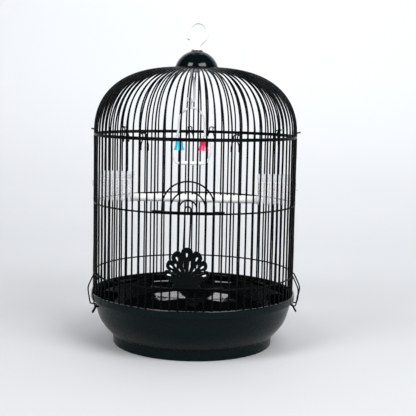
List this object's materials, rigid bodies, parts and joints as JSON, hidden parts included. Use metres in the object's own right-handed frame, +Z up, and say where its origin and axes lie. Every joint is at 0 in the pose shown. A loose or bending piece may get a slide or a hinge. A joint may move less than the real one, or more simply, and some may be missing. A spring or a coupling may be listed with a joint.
{
  "type": "bird cage",
  "caption": "Round wire bird cage with a domed top, deep plastic tray, sliding door, feeder cups, perch, swing with bells and a turning hook to hang it by.",
  "frame": {"origin": "centre of the tray's foot, on the surface that the cage stands on", "axes": "+Z up, -Y towards the door, +X to the right of a person who faces the door"},
  "size_m": [0.3367, 0.3302, 0.5099],
  "materials": {
    "black_plastic": "satin black with a soft sheen",
    "black_wire": "black enamel on drawn steel wire",
    "white_plastic": "smooth white",
    "clear_plastic": "clear, slightly frosted",
    "blue_plastic": "bright, slightly see-through",
    "red_plastic": "bright, slightly see-through",
    "steel": "plated sheet and wire"
  },
  "bodies": {
    "tray": {"tray": "black_plastic"},
    "cage": {"cage_wall": "black_wire", "cage_dome": "black_wire", "dome_clip_1": "black_wire", "dome_clip_2": "black_wire", "dome_clip_3": "black_wire", "dome_clip_4": "black_wire", "dome_clip_5": "black_wire", "dome_clip_6": "black_wire", "dome_clip_7": "black_wire", "dome_clip_8": "black_wire", "cup_left": "clear_plastic", "cup_right": "clear_plastic", "perch": "white_plastic", "cap": "black_plastic", "hub_plate": "steel", "swing_hanger": "clear_plastic"},
    "latch_left": {"latch_left": "black_wire"},
    "latch_right": {"latch_right": "black_wire"},
    "door": {"door": "black_wire", "door_plate": "black_plastic"},
    "hook": {"hook": "white_plastic", "hook_retainer": "steel"},
    "swing": {"swing_frame": "clear_plastic", "swing_perch": "white_plastic"},
    "bell_blue": {"bell_blue": "blue_plastic"},
    "bell_red": {"bell_red": "red_plastic"},
    "clapper_blue": {"bell_clapper_blue": "steel"},
    "clapper_red": {"bell_clapper_red": "steel"}
  },
  "joints": [
    {"name": "cage_lift", "type": "slide", "parent": "tray", "child": "cage", "axis": [0, 0, 1], "range_m": [0, 0.05]},
    {"name": "latch_left_turn", "type": "hinge", "parent": "cage", "child": "latch_left", "pos_m": [-0.1435, -0.06615, 0.1138], "axis": [-0.4187, 0.9081, 0], "range_deg": [0, 80]},
    {"name": "latch_right_turn", "type": "hinge", "parent": "cage", "child": "latch_right", "pos_m": [0.15692, -0.01857, 0.1138], "axis": [-0.1175, -0.9931, 0], "range_deg": [0, 80]},
    {"name": "door_slide", "type": "slide", "parent": "cage", "child": "door", "axis": [0, 0, 1], "range_m": [0, 0.099]},
    {"name": "hook_turn", "type": "hinge", "parent": "cage", "child": "hook", "pos_m": [0, 0, 0.4635], "axis": [0, 0, 1], "continuous": true},
    {"name": "swing_rock", "type": "hinge", "parent": "cage", "child": "swing", "pos_m": [-0.008, 0, 0.384], "axis": [1, 0, 0], "range_deg": [-40, 40]},
    {"name": "bell_blue_rock", "type": "hinge", "parent": "swing", "child": "bell_blue", "pos_m": [-0.0256, 0, 0.3305], "axis": [1, 0, 0], "range_deg": [-40, 40]},
    {"name": "bell_red_rock", "type": "hinge", "parent": "swing", "child": "bell_red", "pos_m": [0.013, 0, 0.3305], "axis": [1, 0, 0], "range_deg": [-40, 40]},
    {"name": "clapper_blue_rock", "type": "hinge", "parent": "bell_blue", "child": "clapper_blue", "pos_m": [-0.0256, 0, 0.3248], "axis": [1, 0, 0], "range_deg": [-12, 12]},
    {"name": "clapper_red_rock", "type": "hinge", "parent": "bell_red", "child": "clapper_red", "pos_m": [0.013, 0, 0.3248], "axis": [1, 0, 0], "range_deg": [-12, 12]}
  ],
  "couplings": [
    {"joint": "latch_left_turn", "follows": "cage_lift", "rad_per_m": 27.9},
    {"joint": "latch_right_turn", "follows": "cage_lift", "rad_per_m": 27.9}
  ]
}
